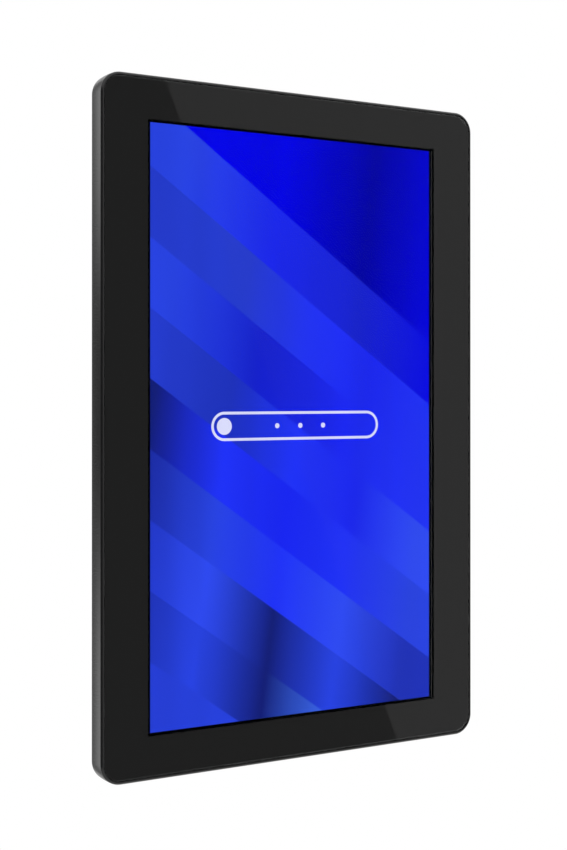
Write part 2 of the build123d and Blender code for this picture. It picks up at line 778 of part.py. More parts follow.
well_r = m3_head_r + 0.5
well_seat = m3_head_h + 1.2
speaker_ear_z = speaker_h / 2 + 4
speaker_points = [(sx * speaker_x, speaker_z + sz * speaker_ear_z) for sx in (-1, 1) for sz in (-1, 1)]
speaker_boss_front = cover_t + 4
bay_mid = (-half_h - 1 + bay_top) / 2
bay_long = bay_top + half_h + 1
window_gap = 0.3

plate_window = (board_w - 14, 3.0, bay_depth - 0.2)
with BuildPart() as socket_plate:
    plate_w = plate_window[0] + 6
    blocks([(0, bay_inner + socket_plate_t / 2, plate_w, socket_plate_t)], cover_t, bay_depth + 1.5)
    for socket_name, (w, h, _) in socket_sizes.items():
        cut = (socket_x[socket_name], bay_inner + socket_plate_t / 2, w + 2 * window_gap, socket_plate_t)
        blocks([cut], board_back - h - window_gap, board_back + window_gap, mode=Mode.SUBTRACT)
finish(socket_plate, "socket_plate")

with BuildPart() as cover_hollow:
    slab(*cover_outline(slope_top, slope_wall), slope_top, frame_back)
    taper(slope_top, cover_outline(slope_top, slope_wall), cover_t, cover_outline(cover_t, slope_wall))
    bay_shell = (0, bay_mid + cover_t / 2, 2 * (bay_half_w + cover_t), bay_long + cover_t)
    blocks([bay_shell], 0, bay_depth + cover_t, mode=Mode.SUBTRACT)
    posts(cover_points, well_r + 1.6, 0, screw_boss_front, mode=Mode.SUBTRACT)
    posts(speaker_points, standoff_r, 0, speaker_boss_front, mode=Mode.SUBTRACT)

with BuildPart() as rear_cover:
    slab(2 * cover_half_w, 2 * cover_half_h, cover_r, slope_top, frame_back)
    taper(slope_top, cover_outline(slope_top), slope_foot, cover_outline(slope_foot))
    flat = (2 * (cover_half_w - plateau_inset), 2 * (cover_half_h - plateau_inset), cover_r)
    taper(slope_foot, cover_outline(slope_foot), 0, flat)
    add(cover_hollow.part, mode=Mode.SUBTRACT)
    lip_out = wall_t + lip_gap
    lip_outer = (body_w - 2 * lip_out, body_h - 2 * lip_out, corner_r - lip_out)
    lip_inner = (lip_outer[0] - 2 * lip_t, lip_outer[1] - 2 * lip_t, lip_outer[2] - lip_t)
    ring(lip_outer, lip_inner, frame_back, frame_back + lip_h)
    blocks([(0, bay_mid, 2 * bay_half_w, bay_long)], 0, bay_depth, mode=Mode.SUBTRACT)
    wall_cut = (0, (bay_top + bay_inner) / 2, plate_window[0], cover_t)
    blocks([wall_cut], *plate_window[1:], mode=Mode.SUBTRACT)
    posts(pillar_points, pillar_shank_r + pillar_gap, 0, cover_t, mode=Mode.SUBTRACT)
    posts(cover_points, well_r, 0, well_seat, mode=Mode.SUBTRACT)
    posts(cover_points, m3_clear_r, well_seat, screw_boss_front, mode=Mode.SUBTRACT)
    posts(speaker_points, thread_r, cover_t, speaker_boss_front, mode=Mode.SUBTRACT)
    vent_x = [(i - 9.5) * 7 for i in range(20)]
    vents = [(x, cover_half_h * 0.7, 2.6, 34) for x in vent_x]
    vents += [(x, sink_z, 2.6, 34) for x in vent_x[3:-3]]
    vents += [(sx * speaker_x, speaker_z + i * 4.5, 13, 2) for sx in (-1, 1) for i in range(-4, 5)]
    blocks(vents, 0, cover_t, mode=Mode.SUBTRACT)
finish(rear_cover, "rear_cover")

with BuildPart() as cover_screws:
    screws(cover_points, well_seat, 10)
finish(cover_screws, "cover_screws")

# ------------------------------------------------------------------ speakers and antennas
gasket_front = cover_t + speaker_gasket_t
with BuildPart() as speaker_gaskets:
    pads = [(sx * speaker_x, speaker_z, speaker_w - 1, speaker_h - 2) for sx in (-1, 1)]
    blocks(pads, cover_t, gasket_front)
    blocks([(x, z, w - 4, h - 5) for x, z, w, h in pads], cover_t, gasket_front, mode=Mode.SUBTRACT)
finish(speaker_gaskets, "speaker_gaskets")

for side, side_name in ((-1, "left"), (1, "right")):
    x = side * speaker_x
    with BuildPart() as speaker:
        blocks([(x, speaker_z, speaker_w, speaker_h)], gasket_front, gasket_front + 9)
        ear_boxes = [(x, speaker_z + s * (speaker_h / 2 + 3.5), 10, 9) for s in (-1, 1)]
        blocks(ear_boxes, speaker_boss_front, speaker_boss_front + 2)
        side_points = [point for point in speaker_points if point[0] * side > 0]
        posts(side_points, m3_clear_r, speaker_boss_front, speaker_boss_front + 2, mode=Mode.SUBTRACT)
        cone = (x, speaker_z, speaker_w - 6, speaker_h - 8)
        blocks([cone], gasket_front, gasket_front + 1.5, mode=Mode.SUBTRACT)
    finish(speaker, f"speaker_{side_name}")

with BuildPart() as speaker_screws:
    screws(speaker_points, speaker_boss_front + 2, 5, drive=-1)
finish(speaker_screws, "speaker_screws")

antenna_z = cover_half_h * 0.7 + 26
antenna_x = 55
with BuildPart() as antennas:
    blocks([(sx * antenna_x, antenna_z, 36, 9) for sx in (-1, 1)], cover_t, cover_t + 0.6)
finish(antennas, "antennas")

with BuildPart() as antenna_leads:
    for side in (-1, 1):
        lead_depth = board_back - header_t - 6.5 + side * 1.2
        lead_x = side * (vesa_large / 2 + pillar_r + 6)
        start_x = wifi_x + side * 3
        turn_z = board_top + 2 + side * 1.5
        wire(
            [
                (start_x, board_back - header_t, sink_z + 8),
                (start_x, lead_depth, sink_z + 8),
                (start_x, lead_depth, turn_z),
                (lead_x, lead_depth, turn_z),
                (lead_x, lead_depth, antenna_z),
                (lead_x, cover_t + 0.6, antenna_z),
            ],
            0.6,
        )
finish(antenna_leads, "antenna_leads")

os.makedirs("parts", exist_ok=True)
for piece in pieces:
    export_step(piece, f"parts/{piece.label}.step")
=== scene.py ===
"""Wall-mounted 15.6 inch touchscreen, section by section in the order it is put together.

Metres.  X runs across the screen, Z is up, the screen looks along -Y and the flat back is at Y = 0.
Depths are counted forward from that back, so a thing at depth d lies at y = -d.
"""

import math

import bmesh
import bpy
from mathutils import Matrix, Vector


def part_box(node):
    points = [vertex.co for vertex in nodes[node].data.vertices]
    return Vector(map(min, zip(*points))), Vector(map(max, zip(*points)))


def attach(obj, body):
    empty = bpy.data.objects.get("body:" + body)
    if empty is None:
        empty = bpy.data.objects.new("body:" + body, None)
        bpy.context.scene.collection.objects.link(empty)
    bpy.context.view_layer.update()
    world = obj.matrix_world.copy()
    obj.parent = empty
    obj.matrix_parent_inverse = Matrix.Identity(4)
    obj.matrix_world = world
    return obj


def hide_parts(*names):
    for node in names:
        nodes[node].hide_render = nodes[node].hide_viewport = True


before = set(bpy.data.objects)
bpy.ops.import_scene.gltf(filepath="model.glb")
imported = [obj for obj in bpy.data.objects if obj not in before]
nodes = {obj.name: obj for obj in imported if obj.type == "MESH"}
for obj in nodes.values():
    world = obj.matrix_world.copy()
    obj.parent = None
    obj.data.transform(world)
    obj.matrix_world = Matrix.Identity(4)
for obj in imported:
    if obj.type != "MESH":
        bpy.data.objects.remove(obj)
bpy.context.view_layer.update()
scene = bpy.context.scene
mm = 0.001
weld = 0.001 * mm

# ------------------------------------------------------------------ front frame
# One injection moulding in black ABS that everything else hangs on: a slightly bellied side wall, a
# soft bevel and a narrow rim round the glass, and behind it the tape ledge and the screw posts.
half_w, half_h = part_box("front_frame")[1].x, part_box("front_frame")[1].z
rim_depth = -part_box("front_frame")[0].y
corner_r = 12.3 * mm
inner_r = 4 * mm
side_depth = 13.2 * mm
belly, belly_from_back, belly_from_bevel = 0.2 * mm, 0.6 * mm, 0.25 * mm
wall = 3.0 * mm
rim = 1.9 * mm
bevel_out, bevel_down = 1.0 * mm, 1.0 * mm
ledge_w, ledge_t = 10 * mm, 2.5 * mm
rim_to_seat = 3.7 * mm
glass_seat = rim_depth - rim_to_seat
frame_back = rim_depth - side_depth
post_r, thread_r = 3.5 * mm, 1.55 * mm


def shade(code):
    """Linear colour of an sRGB hex value."""
    parts = [int(code[i : i + 2], 16) / 255 for i in (1, 3, 5)]
    return (*[c / 12.92 if c <= 0.04045 else ((c + 0.055) / 1.055) ** 2.4 for c in parts], 1.0)


def add_node(tree, kind, sockets=None, **settings):
    """Add a node with its settings, and give each named socket a value or a link."""
    made = tree.nodes.new(kind)
    for name, value in settings.items():
        setattr(made, name, value)
    for name, value in (sockets or {}).items():
        if isinstance(value, bpy.types.NodeSocket):
            tree.links.new(value, made.inputs[name])
        else:
            made.inputs[name].default_value = value
    return made


def new_finish(name, **sockets):
    """A material of one Principled surface; returns it with its tree, surface and object coordinates."""
    made = bpy.data.materials.new(name)
    made.use_nodes = True
    tree = made.node_tree
    tree.nodes.clear()
    named = {key.replace("_", " "): value for key, value in sockets.items()}
    surface = add_node(tree, "ShaderNodeBsdfPrincipled", named)
    add_node(tree, "ShaderNodeOutputMaterial", {"Surface": surface.outputs[0]})
    place = add_node(tree, "ShaderNodeTexCoord").outputs["Object"]
    return made, tree, surface, place


def grain(tree, surface, place, pitch_mm, depth_mm, low, high, stretch=(1, 1, 1)):
    """Roughness from low to high and a bump depth_mm deep, both from lumps pitch_mm apart."""
    scaled = add_node(tree, "ShaderNodeMapping", {"Vector": place, "Scale": stretch})
    size = {"Vector": scaled.outputs[0], "Scale": 1 / (pitch_mm * mm), "Detail": 3.0, "Roughness": 0.6}
    lumps = add_node(tree, "ShaderNodeTexNoise", size).outputs["Fac"]
    span = {"Value": lumps, "From Min": 0.3, "From Max": 0.7, "To Min": low, "To Max": high}
    rough = add_node(tree, "ShaderNodeMapRange", span)
    tree.links.new(rough.outputs[0], surface.inputs["Roughness"])
    bump = add_node(tree, "ShaderNodeBump", {"Height": lumps, "Distance": depth_mm * mm})
    tree.links.new(bump.outputs[0], surface.inputs["Normal"])
    return lumps


def tint(tree, surface, factor, dark, light):
    """Surface colour between two shades as a factor goes from 0 to 1."""
    colours = {0: factor, 6: shade(dark), 7: shade(light)}
    mix = add_node(tree, "ShaderNodeMix", colours, data_type="RGBA")
    tree.links.new(mix.outputs[2], surface.inputs["Base Color"])
    return mix


def outline(w, h, r, depth, steps=18):
    """Rounded rectangle of half sizes w and h at a depth, anticlockwise seen from in front."""
    points = []
    for corner, (side, end) in enumerate(((1, 1), (-1, 1), (-1, -1), (1, -1))):
        for step in range(steps + 1):
            turn = (corner + step / steps) * math.pi / 2
            x = side * (w - r) + r * math.cos(turn)
            points.append((x, -depth, end * (h - r) + r * math.sin(turn)))
    return points


def soften(outline_corners, steps=4):
    """Turn (inset, depth, radius) corners into a closed profile with each corner rounded."""
    points = []
    count = len(outline_corners)
    for i, (inset, depth, r) in enumerate(outline_corners):
        here = Vector((inset, depth))
        to_last = Vector(outline_corners[i - 1][:2]) - here
        to_next = Vector(outline_corners[(i + 1) % count][:2]) - here
        if r == 0:
            points.append(here)
            continue
        reach = r / math.tan(to_last.angle(to_next) / 2)
        start, end = here + to_last.normalized() * reach, here + to_next.normalized() * reach
        for s in [step / steps for step in range(steps + 1)]:
            points.append(start * (1 - s) ** 2 + here * 2 * s * (1 - s) + end * s**2)
    return points


def skin(loops, closed=False):
    """Mesh through loops of equal count: joined end to start, or a stack closed by two caps."""
    count, rows = len(loops[0]), len(loops)
    faces = []
    for row in range(rows if closed else rows - 1):
        low, high = row * count, (row + 1) % rows * count
        faces += [(low + i, low + (i + 1) % count, high + (i + 1) % count, high + i) for i in range(count)]
    if not closed:
        faces += [tuple(range(count))[::-1], tuple(range((rows - 1) * count, rows * count))]
    mesh = bpy.data.meshes.new("skin")
    mesh.from_pydata([point for loop in loops for point in loop], [], faces)
    work = bmesh.new()
    work.from_mesh(mesh)
    bmesh.ops.recalc_face_normals(work, faces=work.faces)
    work.to_mesh(mesh)
    work.free()
    return mesh


def link_new(name, mesh):
    """A new object of a mesh, at the origin."""
    made = bpy.data.objects.new(name, mesh)
    scene.collection.objects.link(made)
    return made


def plain_mesh(piece):
    """The mesh of an object with its modifiers worked in; the object itself is taken away."""
    worked = piece.evaluated_get(bpy.context.evaluated_depsgraph_get())
    mesh = bpy.data.meshes.new_from_object(worked)
    bpy.data.objects.remove(piece)
    return mesh


def stand(name, mesh, *materials, edge_angle=32):
    """Put a finished mesh in the scene: smooth but for its real edges, and its flats shaded flat."""
    for material in materials:
        mesh.materials.append(material)
    mesh.polygons.foreach_set("use_smooth", [True] * len(mesh.polygons))
    mesh.set_sharp_from_angle(angle=math.radians(edge_angle))
    rough = link_new(name, mesh)
    rough.modifiers.new("flats", "WEIGHTED_NORMAL").keep_sharp = True
    finished = plain_mesh(rough)
    finished.name = name
    return link_new(name, finished)


def joined(*meshes):
    """One mesh from several."""
    work = bmesh.new()
    for mesh in meshes:
        work.from_mesh(mesh)
    whole = bpy.data.meshes.new("joined")
    work.to_mesh(whole)
    work.free()
    return whole


def solids(name):
    """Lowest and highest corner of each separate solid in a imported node."""
    work = bmesh.new()
    work.from_mesh(nodes[name].data)
    bmesh.ops.remove_doubles(work, verts=work.verts, dist=weld)
    seen, boxes = set(), []
    for start in work.verts:
        if start in seen:
            continue
        seen.add(start)
        island, edge = [], [start]
        while edge:
            here = edge.pop()
            island.append(here.co.copy())
            fresh = [link.other_vert(here) for link in here.link_edges]
            fresh = [vert for vert in fresh if vert not in seen]
            seen.update(fresh)
            edge += fresh
        low, high = ([pick(point[axis] for point in island) for axis in range(3)] for pick in (min, max))
        boxes.append((Vector(low), Vector(high)))
    work.free()
    return boxes


def new_tree(name, *sizes):
    """An empty Geometry Nodes tree with named size inputs and a material; returned with its end nodes."""
    tree = bpy.data.node_groups.new(name, "GeometryNodeTree")
    tree.interface.new_socket("Points", in_out="INPUT", socket_type="NodeSocketGeometry")
    tree.interface.new_socket("Result", in_out="OUTPUT", socket_type="NodeSocketGeometry")
    for label in sizes:
        tree.interface.new_socket(label, in_out="INPUT", socket_type="NodeSocketFloat")
    tree.interface.new_socket("Material", in_out="INPUT", socket_type="NodeSocketMaterial")
    return tree, add_node(tree, "NodeGroupInput"), add_node(tree, "NodeGroupOutput")


def grow(tree, points, material, **sizes):
    """Run a tree on some points with the given sizes and return the plain mesh."""
    cloud = bpy.data.meshes.new("points")
    cloud.from_pydata(points, [], [])
    source = link_new("points", cloud)
    growth = source.modifiers.new("growth", "NODES")
    growth.node_group = tree
    sizes["Material"] = material
    for socket in tree.interface.items_tree:
        if socket.name in sizes:
            growth[socket.identifier] = sizes[socket.name]
    return plain_mesh(source)


def end_tree(tree, entry, exit_node, shape):
    """Copy a shape onto the points, make it real and give it the material input."""
    placed = {"Points": entry.outputs["Points"], "Instance": shape}
    placed = add_node(tree, "GeometryNodeInstanceOnPoints", placed)
    real = add_node(tree, "GeometryNodeRealizeInstances", {"Geometry": placed.outputs[0]})
    dressed = {"Geometry": real.outputs[0], "Material": entry.outputs["Material"]}
    dressed = add_node(tree, "GeometryNodeSetMaterial", dressed)
    tree.links.new(dressed.outputs[0], exit_node.inputs["Result"])


# Satin ABS: the fine texture of the tool keeps reflections soft-edged, so the wall shows long gradients
# and the bevel a thin line of light.
abs_satin, tree, surface, place = new_finish("satin_moulded_abs", IOR=1.5)
tint(tree, surface, grain(tree, surface, place, 0.5, 0.002, 0.2, 0.3), "#0a0a0b", "#101011")

belly_start = frame_back + belly_from_back
belly_end = rim_depth - bevel_down - belly_from_bevel
belly_steps = [step / 8 for step in range(9)]
side = [(belly * (2 * s - 1) ** 2, belly_start + s * (belly_end - belly_start), 0) for s in belly_steps]
# (inset from the outside, depth, edge radius) round the cross-section of the moulding
profile = [
    (belly, frame_back, 0.2 * mm),
    *side,
    (belly, rim_depth - bevel_down, 0.2 * mm),
    (belly + bevel_out, rim_depth, 0.3 * mm),
    (rim, rim_depth, 0.1 * mm),
    (rim, glass_seat, 0),
    (wall + ledge_w, glass_seat, 0.2 * mm),
    (wall + ledge_w, glass_seat - ledge_t, 0.2 * mm),
    (wall, glass_seat - ledge_t, 0.4 * mm),
    (wall, frame_back, 0.2 * mm),
]
loops = [
    outline(half_w - inset, half_h - inset, max(corner_r - inset, inner_r), depth)
    for inset, depth in soften(profile)
]
shell = link_new("frame_shell", skin(loops, closed=True))

button_long, button_thick, button_gap = 11 * mm, 3.8 * mm, 0.3 * mm
button_names = ("volume_down_button", "volume_up_button", "power_button")
cut_past = 1 * mm


def pill(x, centre, long, thick, steps=14):
    """Upright slot outline in the side wall, at a distance across from the middle."""
    r = thick / 2
    points = []
    for end in (1, -1):
        for step in range(steps + 1):
            turn = (0 if end > 0 else math.pi) + step / steps * math.pi
            z = centre.z + end * (long / 2 - r) + r * math.sin(turn)
            points.append((x, centre.y + r * math.cos(turn), z))
    return points


centres = [(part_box(name)[0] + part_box(name)[1]) / 2 for name in button_names]
cutters = []
for centre in centres:
    slot_size = (button_long + 2 * button_gap, button_thick + 2 * button_gap)
    inner = pill(half_w - wall - cut_past, centre, *slot_size)
    cutters.append(skin([inner, pill(half_w + cut_past, centre, *slot_size)]))
cutter = link_new("slot_cutter", joined(*cutters))
cut = shell.modifiers.new("slots", "BOOLEAN")
cut.object = cutter
cut.solver = "EXACT"
shell_mesh = plain_mesh(shell)
bpy.data.objects.remove(cutter)

post_tree, entry, exit_node = new_tree("screw_posts", "Radius", "Bore", "Length")
# The bore is a fifth longer than the post, so it cuts clean through both ends.
inner_length = {0: entry.outputs["Length"], 1: 1.2}
inner_length = add_node(post_tree, "ShaderNodeMath", inner_length, operation="MULTIPLY")
post = {"Vertices": 32, "Radius": entry.outputs["Radius"], "Depth": entry.outputs["Length"]}
post = add_node(post_tree, "GeometryNodeMeshCylinder", post).outputs["Mesh"]
bore = {"Vertices": 32, "Radius": entry.outputs["Bore"], "Depth": inner_length.outputs[0]}
bore = add_node(post_tree, "GeometryNodeMeshCylinder", bore).outputs["Mesh"]
bored = {0: post, 1: bore}
bored = add_node(post_tree, "GeometryNodeMeshBoolean", bored, operation="DIFFERENCE", solver="EXACT")
turned = {"Geometry": bored.outputs[0], "Rotation": (math.pi / 2, 0, 0)}
turned = add_node(post_tree, "GeometryNodeTransform", turned)
end_tree(post_tree, entry, exit_node, turned.outputs[0])

ledge_back = glass_seat - ledge_t
post_overlap = 0.05 * mm
posts = []
for screw_node, plate_node in (("chassis_screws", "chassis_plate"), ("panel_screws", "module_back_plate")):
    foot = -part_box(plate_node)[0].y
    middle = (foot + ledge_back) / 2
    points = [((low.x + high.x) / 2, -middle, (low.z + high.z) / 2) for low, high in solids(screw_node)]
    post_length = ledge_back - foot + post_overlap
    posts.append(grow(post_tree, points, abs_satin, Radius=post_r, Bore=thread_r, Length=post_length))
front_frame = stand("frame_moulding", joined(shell_mesh, *posts), abs_satin)
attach(front_frame, "display")
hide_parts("front_frame")

# ------------------------------------------------------------------ cover glass
# A 3 mm sheet of toughened glass over the whole front, its edge ground round and polished, stuck to
# the frame's ledge.  Its clear window is coated on both sides so that nothing mirrors in the picture,
# and the coated patch lies a little to the left of the window in the ink.
glass_gap = 0.2 * mm
edge_round = 0.3 * mm
glass_back = -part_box("border_print")[0].y
glass_front = -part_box("cover_glass")[0].y
window_w, window_h, window_r = 98.55 * mm, 172.95 * mm, 0.5 * mm
coating_over, coating_aside = 0.25 * mm, 0.65 * mm
wave_length, wave_depth = 60 * mm, 0.0004 * mm

# Toughened glass is clear with a faint grey-green body, and mirrors about a twenty-fifth of the light.
glass_finish, tree, surface, place = new_finish(
    "toughened_glass", IOR=1.5, Roughness=0.0, Transmission_Weight=1.0, Base_Color=shade("#f6faf9")
)
waves = {"Vector": place, "Scale": 1 / wave_length, "Detail": 1.0}
waves = add_node(tree, "ShaderNodeTexNoise", waves).outputs["Fac"]
waves = add_node(tree, "ShaderNodeBump", {"Height": waves, "Distance": wave_depth})
tree.links.new(waves.outputs[0], surface.inputs["Normal"])
# The coated window passes the picture unveiled: it bends and mirrors light far less than bare glass.
coated_finish, tree, surface, place = new_finish(
    "coated_glass", IOR=1.1, Roughness=0.0, Transmission_Weight=1.0, Base_Color=shade("#fcfdfd")
)

pane_w, pane_h, pane_r = half_w - rim - glass_gap, half_h - rim - glass_gap, corner_r - rim - glass_gap
coated = outline(window_w + coating_over, window_h, window_r, 0)
coated = [(x - coating_aside, z) for x, _, z in coated]
pane = [[(x, -glass_back, z) for x, z in coated], outline(pane_w, pane_h, pane_r, glass_back)]
for step in range(5):
    turn = step / 4 * math.pi / 2
    inset, drop = edge_round * (1 - math.cos(turn)), edge_round * (1 - math.sin(turn))
    pane.append(outline(pane_w - inset, pane_h - inset, pane_r - inset, glass_front - drop))
pane.append([(x, -glass_front, z) for x, z in coated])
cover_glass = stand("glass_pane", skin(pane), glass_finish, coated_finish)
for face in list(cover_glass.data.polygons)[-2:]:
    face.material_index = 1
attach(cover_glass, "display")
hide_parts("cover_glass")

# ------------------------------------------------------------------ printed border and glass tape
# Opaque black ink is screen-printed and baked on the back of the glass, and a black foam tape a few
# millimetres wide bonds it to the ledge.
def finish_node(name, material):
    """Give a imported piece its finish."""
    nodes[name].data.materials.clear()
    nodes[name].data.materials.append(material)


# Baked ceramic ink is matt and almost without colour, so behind glass it reads as one even black.
ink, tree, surface, place = new_finish("baked_screen_ink", IOR=1.5)
tint(tree, surface, grain(tree, surface, place, 0.3, 0.001, 0.5, 0.6), "#040404", "#070707")
finish_node("border_print", ink)

# Closed-cell acrylic foam shows a skin of small lumps and no shine.
foam, tree, surface, place = new_finish("closed_cell_foam", IOR=1.45)
tint(tree, surface, grain(tree, surface, place, 0.7, 0.08, 0.8, 0.95), "#0e0e0f", "#1a1a1b")
for name in ("glass_tape", "panel_gasket", "speaker_gaskets"):
    finish_node(name, foam)

# ------------------------------------------------------------------ touch film and its tail
# A clear polyester film with the sensing grid lies behind the glass.  Its tail, an amber polyimide
# strip with copper tracks, folds back past the display to the touch board.
film, tree, surface, place = new_finish(
    "clear_touch_film", IOR=1.03, Roughness=0.0, Transmission_Weight=1.0, Base_Color=shade("#fdfdfd")
)
finish_node("touch_sensor", film)

# Polyimide is a glossy amber plastic; the copper tracks below it show as finer, redder lines.
flex, tree, surface, place = new_finish("polyimide_flex", IOR=1.6, Roughness=0.32, Coat_Weight=0.3)
track_pitch = 1.0 * mm
lines = {"Vector": place, "Scale": 0.5 / track_pitch, "Distortion": 0.0}
lines = add_node(tree, "ShaderNodeTexWave", lines, bands_direction="Z").outputs["Fac"]
tint(tree, surface, lines, "#9a5a12", "#c98a2a")
for name in ("touch_tail", "display_cable", "button_cable"):
    finish_node(name, flex)

# ------------------------------------------------------------------ lit display cell
# Two thin sheets of glass with the liquid crystal between them, lit from behind.  The idle picture is
# a pile of slanting sheets of blue light with a plain slide-to-start sign in the middle.
picture_w, picture_h, picture_aside = 96.8, 172.1, 0.5
slant, run_lean = 0.7, 0.15
first_edge, sheet_pitch, sheet_blur = -240, 40, 0.3
sign_long, sign_high, stroke, knob_r = 58.0, 8.5, 0.8, 4.9
dot_r, dot_blur, dot_places = 1.5, 0.15, (-14, 2, 18)
blues = dict(
    ink="#101c74", dusk="#18289c", slate="#1c30b8", haze="#233acb", sky="#2742e0", beam="#2e4af0",
    pale="#3c66ea", deep="#121fcc", pure="#1624ee", vivid="#1e31f4", ultra="#0000e6", night="#0000a0"
)

# The glowing area has no surface colour of its own: all that is seen is light coming through.  Its
# numbers are in mm: spot is the place on the picture, and climb counts up across the slanting sheets.
cell, tree, surface, place = new_finish(
    "lit_display_cell", Base_Color=shade("#010102"), Roughness=0.5, Specular_IOR_Level=0.0
)
spot = {0: place, 1: (1000, 0, 1000), 2: (-picture_aside, 0, 0)}
spot = add_node(tree, "ShaderNodeVectorMath", spot, operation="MULTIPLY_ADD").outputs[0]
climb = {0: spot, 1: (slant, 0, 1)}
climb = add_node(tree, "ShaderNodeVectorMath", climb, operation="DOT_PRODUCT").outputs["Value"]
reach = {0: spot, 1: (1, 0, -run_lean)}
reach = add_node(tree, "ShaderNodeVectorMath", reach, operation="DOT_PRODUCT").outputs["Value"]
reach = {"Value": reach, "From Min": -picture_w, "From Max": picture_w}
reach = add_node(tree, "ShaderNodeMapRange", reach).outputs[0]

# Ten sheets 40 mm apart, each hiding the one before it above its lower edge, and each running through
# its own blues from left to right.
picture = shade("#000000")
runs = (
    "haze sky pale",
    "dusk sky ink pale beam",
    "slate beam ink sky ink",
    "dusk sky vivid beam slate",
    "ink vivid pure vivid sky",
    "haze slate vivid pure beam",
    "sky deep pure vivid",
    "haze haze vivid pure vivid",
    "sky pure deep ultra",
    "ultra ultra night ultra",
)
for step, run in enumerate(runs):
    names = run.split()
    sheet = add_node(tree, "ShaderNodeValToRGB", {"Fac": reach})
    stops = sheet.color_ramp.elements
    stops[0].color = shade(blues[names[0]])
    stops[1].color = shade(blues[names[-1]])
    for i, name in enumerate(names[1:-1], 1):
        stops.new(i / (len(names) - 1)).color = shade(blues[name])
    edge = first_edge + step * sheet_pitch
    above = {"Value": climb, "From Min": edge - sheet_blur, "From Max": edge + sheet_blur}
    above = add_node(tree, "ShaderNodeMapRange", above).outputs[0]
    colours = {0: above, 6: picture, 7: sheet.outputs[0]}
    picture = add_node(tree, "ShaderNodeMix", colours, data_type="RGBA").outputs[2]

# The sign is a pill-shaped line with a knob at its left end and three dots.
from_middle = add_node(tree, "ShaderNodeVectorMath", {0: spot}, operation="ABSOLUTE").outputs[0]
past_end = {0: from_middle, 1: (sign_high - sign_long, 0, 0)}
past_end = add_node(tree, "ShaderNodeVectorMath", past_end, operation="ADD").outputs[0]
past_end = {0: past_end, 1: (0, 0, 0)}
past_end = add_node(tree, "ShaderNodeVectorMath", past_end, operation="MAXIMUM").outputs[0]
from_line = add_node(tree, "ShaderNodeVectorMath", {0: past_end}, operation="LENGTH").outputs["Value"]
on_line = {0: from_line, 1: sign_high - stroke, 2: stroke}
sign = add_node(tree, "ShaderNodeMath", on_line, operation="COMPARE").outputs[0]
marks = [(sign_high - sign_long, knob_r), *[(x, dot_r) for x in dot_places]]
for x, r in marks:
    away = {0: spot, 1: (x, 0, 0)}
    away = add_node(tree, "ShaderNodeVectorMath", away, operation="DISTANCE").outputs["Value"]
    dot = {"Value": away, "From Min": r + dot_blur, "From Max": r - dot_blur}
    dot = add_node(tree, "ShaderNodeMapRange", dot).outputs[0]
    sign = add_node(tree, "ShaderNodeMath", {0: sign, 1: dot}, operation="MAXIMUM").outputs[0]
colours = {0: sign, 6: picture, 7: shade("#d8daf9")}
picture = add_node(tree, "ShaderNodeMix", colours, data_type="RGBA").outputs[2]
tree.links.new(picture, surface.inputs["Emission Color"])

# Fine upright streaks in the backlight, and no light outside the picture or from the cell's other faces.
streaks = add_node(tree, "ShaderNodeMapping", {"Vector": spot, "Scale": (0.05, 0, 0.004)}).outputs[0]
streaks = {"Vector": streaks, "Scale": 1.0, "Detail": 1.0}
streaks = add_node(tree, "ShaderNodeTexNoise", streaks).outputs["Fac"]
streaks = {"Value": streaks, "From Min": 0.3, "From Max": 0.7, "To Min": 1.0, "To Max": 1.08}
strength = add_node(tree, "ShaderNodeMapRange", streaks).outputs[0]
sides = add_node(tree, "ShaderNodeSeparateXYZ", {0: from_middle}).outputs
depth = add_node(tree, "ShaderNodeSeparateXYZ", {0: place}).outputs["Y"]
glow_depth = 0.1 * mm
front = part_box("lcd_cell")[0].y + glow_depth
for value, limit in ((sides["X"], picture_w), (sides["Z"], picture_h), (depth, front)):
    within = add_node(tree, "ShaderNodeMath", {0: value, 1: limit}, operation="LESS_THAN").outputs[0]
    strength = add_node(tree, "ShaderNodeMath", {0: strength, 1: within}, operation="MULTIPLY").outputs[0]
tree.links.new(strength, surface.inputs["Emission Strength"])
finish_node("lcd_cell", cell)

# ------------------------------------------------------------------ display module
# The cell sits in a black pressed-steel bezel over a white moulded carrier.  Behind it are diffusing
# sheets, an acrylic light guide with a strip of LEDs along one side, and a white reflector.
# Black-coated steel keeps the faint rolled grain of the sheet under a semi-matt paint.
black_steel, tree, surface, place = new_finish("black_coated_steel", IOR=1.5, Metallic=0.0)
tint(tree, surface, grain(tree, surface, place, 0.8, 0.01, 0.35, 0.5, (1, 1, 0.2)), "#0c0c0d", "#141416")
finish_node("lcd_bezel", black_steel)

# Glass-filled polycarbonate is a warm white with a soft sheen and slight flow marks.
white_plastic, tree, surface, place = new_finish("white_polycarbonate", IOR=1.58)
tint(tree, surface, grain(tree, surface, place, 4.0, 0.01, 0.4, 0.55), "#d2d2cc", "#e2e2dd")
finish_node("panel_carrier", white_plastic)

# Optical sheets are milky polyester with a fine prism texture that scatters light evenly.
optical, tree, surface, place = new_finish("diffusing_polyester", IOR=1.6)
tint(tree, surface, grain(tree, surface, place, 0.25, 0.004, 0.5, 0.6, (1, 1, 0.05)), "#e4e4e0", "#f0f0ec")
for name in ("diffuser_sheets", "reflector_sheet"):
    finish_node(name, optical)

